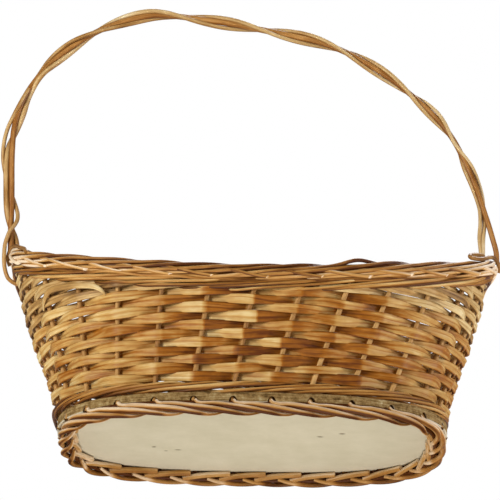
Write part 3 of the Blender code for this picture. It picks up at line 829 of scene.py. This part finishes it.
# Painted light for the handle rods: paler on the side that faces the front, darker at the sides and behind.
ROUND_PAINTED_FRONT_LIGHT = [(rise, deep, 0.3 * rise - 0.12) for rise, deep, shade in ROUND]
handle_feet = {
    "core": (((-159.0, 0, 132.1), (-159.2, 0, 141.0), (-159.5, 0, 153.4), (-159.5, 0, 165.1),
              (-159.8, -0.5, 178.8), (-160.2, -0.8, 192.6), (-160.2, -0.8, 203.0), (-159.4, -0.5, 218.5),
              (-155.8, 0, 234.1)),
             ((140.6, -0.5, 194.5), (145.2, -1.5, 182.7), (147.8, -2.6, 175.0), (150.4, -2.2, 166.6),
              (153.4, -1, 157.9), (156.5, -0.3, 147.3), (158.9, 0, 137.7), (159.3, 0, 130.1))),
    "wrap_outer": (((-154.3, 1, 110.9), (-156.8, -1, 111.6), (-159.6, -2, 113.6), (-161.8, -2, 118.4),
                    (-163.0, -2, 125.2), (-163.1, -2, 132.1), (-162.7, -2.5, 137.4), (-161.4, -3, 142.1),
                    (-159.8, -3.4, 146.1), (-157.3, -3, 149.7), (-155.5, -1.8, 153.6), (-155.2, 0, 158.3),
                    (-156.6, 1.5, 164.3), (-159.2, 3, 171.7), (-162.1, 3.4, 180.1), (-164.7, 3.2, 189.0),
                    (-166.1, 2.2, 197.0), (-166.2, 1, 203.5), (-165.3, 0.3, 211.6), (-163.5, -0.3, 218.5),
                    (-160.7, -1, 225.2), (-154.8, -2, 237.6)),
                   ((138.1, 0, 194.6), (142.8, -0.3, 183.1), (145.6, -0.5, 175.6), (148.0, -0.5, 167.1),
                    (148.5, -0.5, 158.0), (147.9, -0.3, 147.1), (148.6, 0, 140.2), (149.4, 1, 132.4))),
    "wrap_inner": (((-154.9, 2, 132.8), (-155.3, 2, 137.6), (-156.7, 2.5, 143.9), (-158.8, 2.5, 148.7),
                    (-160.7, 1, 153.7), (-162.2, -0.5, 160.1), (-163.0, -0.5, 168.4), (-163.4, -0.5, 178.7),
                    (-163.7, -0.5, 190.5), (-163.3, 0.5, 199.2), (-162.7, 2, 206.0), (-160.5, 3, 212.0),
                    (-157.1, 1.5, 219.2), (-153.8, 1, 228.2), (-150.6, 2, 240.8)),
                   ((144.0, 0.5, 194.9), (148.1, 1.5, 183.8), (149.9, 2.2, 176.6), (150.6, 2, 167.8),
                    (151.3, 0.8, 158.4), (150.4, 0, 147.3), (150.2, 0, 135.5), (150.0, 0, 131.4))),
}
for rod, winding in (("core", 0), ("wrap_outer", 1), ("wrap_inner", -1)):
    angle = math.pi * (half_turns + 0.5)
    reach = winding * (HANDLE_WINDING + drift(stations, 0.05, 0.0003))
    middle_part = (arch_line + (reach * np.cos(angle))[:, None] * away
                   + (reach * np.sin(angle))[:, None] * toward)
    left_foot, right_foot = (np.array(foot) * MILLIMETRE for foot in handle_feet[rod])
    knots = np.concatenate((left_foot, middle_part, right_foot))
    spots = np.concatenate(((0,), np.cumsum(np.linalg.norm(np.diff(knots, axis=0), axis=1))))
    places = np.linspace(0, spots[-1], HANDLE_STEPS)
    path = through(np.column_stack((spots, knots)), places)
    thick = HANDLE_ROD * (np.interp(places, (0.1, 0.3, 0.55), GIRTHS[rod]) + drift(places, 0.08, 0.03))
    tint = drift(places, 0.1, 0.08) + np.interp(path[:, 0], (-0.14, -0.1, 0.1), (-0.1, 0.02, 0.08))
    # Painted shade: the core is made darker where it lies between the wraps, everywhere but at its left
    # foot.
    if not winding:
        tint = tint - 0.14 * np.clip((path[:, 0] + 0.14) / 0.03, 0, 1)
    strand = willow_strand(path, toward, thick, thick, tint, section=ROUND_PAINTED_FRONT_LIGHT)
    own_willow = handle_willow if winding else core_willow_painted_shade
    bind(f"handle_rod_{rod}", [strand], own_willow, "handle", f"handle_{rod}")


# Handle ties: a short thin willow rod at each foot of the handle, bent up over the rim beside it and
# along its top to hold the foot. The right one curls back over itself; the left one runs into the rim.
TIE_ROD = 0.0028
TIE_COURSES = {
    "right": ((0, 6.8, -20, 6.2), (1, 6.75, 30, 6.3), (2, 6.6, 70, 6.2), (3, 6.25, 92, 5.9),
              (4, 5.8, 86, 5.6), (5, 5.35, 76, 5.6), (6, 5.05, 82, 6.7), (7, 5.2, 100, 8.2),
              (8, 5.6, 110, 8.5), (9, 6.1, 118, 7.6), (10, 6.5, 150, 6.0)),
    "left": ((0, 20.8, -40, 6.2), (1, 20.85, 0, 6.3), (2, 20.95, 45, 6.2), (3, 21.15, 75, 5.6),
             (4, 21.5, 84, 5.3), (5, 21.9, 80, 5.3), (6, 22.3, 66, 5.4), (7, 22.5, 42, 4.8)),
}
for side, keys in TIE_COURSES.items():
    turn = np.linspace(0, keys[-1][0], 60)
    bays, roll, reach = through(keys, turn).T
    path = round_rim(bays, roll, reach * MILLIMETRE)
    strand = willow_strand(path, unit(path - stake_head(bays)), TIE_ROD, TIE_ROD, -0.2)
    bind(f"handle_hook_{side}", [strand], handle_willow, "handle", f"handle_tie_{side}")


# Floor: a wide plain sheet under the basket. The photo looks up from below table height, so the
# sheet lets the view through from underneath, and it casts no shadow of its own.
bpy.ops.mesh.primitive_plane_add(size=12)
sheet = bpy.context.object
sheet.name = "studio_floor"
paper = bpy.data.materials.new("pale paper")
paper.use_nodes = True
shader = paper.node_tree.nodes["Principled BSDF"]
shader.inputs["Roughness"].default_value = 0.9
place = add_node(paper, "ShaderNodeTexCoord")
mottle = add_node(paper, "ShaderNodeTexNoise")
mottle.inputs["Scale"].default_value = 30
wire(paper, place.outputs["Object"], mottle.inputs["Vector"])
tone = add_node(paper, "ShaderNodeValToRGB")
tone.color_ramp.elements[0].color = (0.80, 0.80, 0.79, 1)
tone.color_ramp.elements[1].color = (0.84, 0.84, 0.83, 1)
wire(paper, mottle.outputs["Fac"], tone.inputs["Fac"])
wire(paper, tone.outputs["Color"], shader.inputs["Base Color"])
clear = add_node(paper, "ShaderNodeBsdfTransparent")
from_below = add_node(paper, "ShaderNodeNewGeometry")
ray = add_node(paper, "ShaderNodeLightPath")
let_through = add_node(paper, "ShaderNodeMath", operation="MAXIMUM")
wire(paper, from_below.outputs["Backfacing"], let_through.inputs[0])
wire(paper, ray.outputs["Is Shadow Ray"], let_through.inputs[1])
one_way = add_node(paper, "ShaderNodeMixShader")
wire(paper, let_through.outputs["Value"], one_way.inputs["Fac"])
wire(paper, shader.outputs["BSDF"], one_way.inputs[1])
wire(paper, clear.outputs["BSDF"], one_way.inputs[2])
wire(paper, one_way.outputs["Shader"], paper.node_tree.nodes["Material Output"].inputs["Surface"])
sheet.data.materials.append(paper)


# Light: two broad soft lamps low at the left and right, the left one stronger, one before and below
# the basket, a larger one above and behind it, and a white surround that fills the shadows a little.
LAMPS = (("left lamp", (-1.5, -1.5, 0.15), 0.7, 36, (1.0, 0.99, 0.93)),
         ("right lamp", (1.8, -0.5, 0.1), 0.7, 20, (1.0, 0.97, 0.96)),
         ("low lamp", (0.0, -0.5, -1.7), 1.0, 19, (1.0, 1.0, 1.0)),
         ("upper lamp", (0.5, 1.2, 1.9), 1.2, 44, (1.0, 1.0, 1.0)))
middle = Vector((0, 0, 0.10))
for name, spot, size, power, colour in LAMPS:
    bpy.ops.object.light_add(type="AREA", location=spot)
    lamp = bpy.context.object
    lamp.name = name
    lamp.data.size = size
    lamp.data.energy = power
    lamp.data.color = colour
    lamp.rotation_euler = (Vector(spot) - middle).to_track_quat("Z", "Y").to_euler()

surround = bpy.context.scene.world or bpy.data.worlds.new("surround")
bpy.context.scene.world = surround
surround.use_nodes = True
sky = surround.node_tree
seen = sky.nodes.new("ShaderNodeLightPath")
direct = sky.nodes.new("ShaderNodeMath")
direct.operation = "MAXIMUM"
sky.links.new(seen.outputs["Is Camera Ray"], direct.inputs[0])
sky.links.new(seen.outputs["Is Transmission Ray"], direct.inputs[1])
strength = sky.nodes.new("ShaderNodeMapRange")
strength.inputs["To Min"].default_value = 0.14
strength.inputs["To Max"].default_value = 1.0
sky.links.new(direct.outputs["Value"], strength.inputs["Value"])
backlight = sky.nodes["Background"]
backlight.inputs["Color"].default_value = (1, 1, 1, 1)
sky.links.new(strength.outputs["Result"], backlight.inputs["Strength"])
bpy.context.scene.view_settings.view_transform = "Standard"


# Camera: a long lens from the front and a little below, turned slightly so that the basket's
# right side sits lower in the picture, as in the photo.
target = Vector((-0.0024, 0, 0.1369))
climb = math.radians(17.5)
tilt = math.radians(0.96)
distance = 3.0
forward = Vector((0, math.cos(climb), math.sin(climb)))
level_right = Vector((1, 0, 0))
level_up = level_right.cross(forward)
right = level_right * math.cos(tilt) + level_up * math.sin(tilt)
up = level_up * math.cos(tilt) - level_right * math.sin(tilt)
bpy.ops.object.camera_add()
camera = bpy.context.object
facing = Matrix((right, up, -forward)).transposed().to_4x4()
camera.matrix_world = Matrix.Translation(target - forward * distance) @ facing
camera.data.sensor_width = 36
camera.data.lens = 329.8
camera.data.clip_end = 50
bpy.context.scene.camera = camera
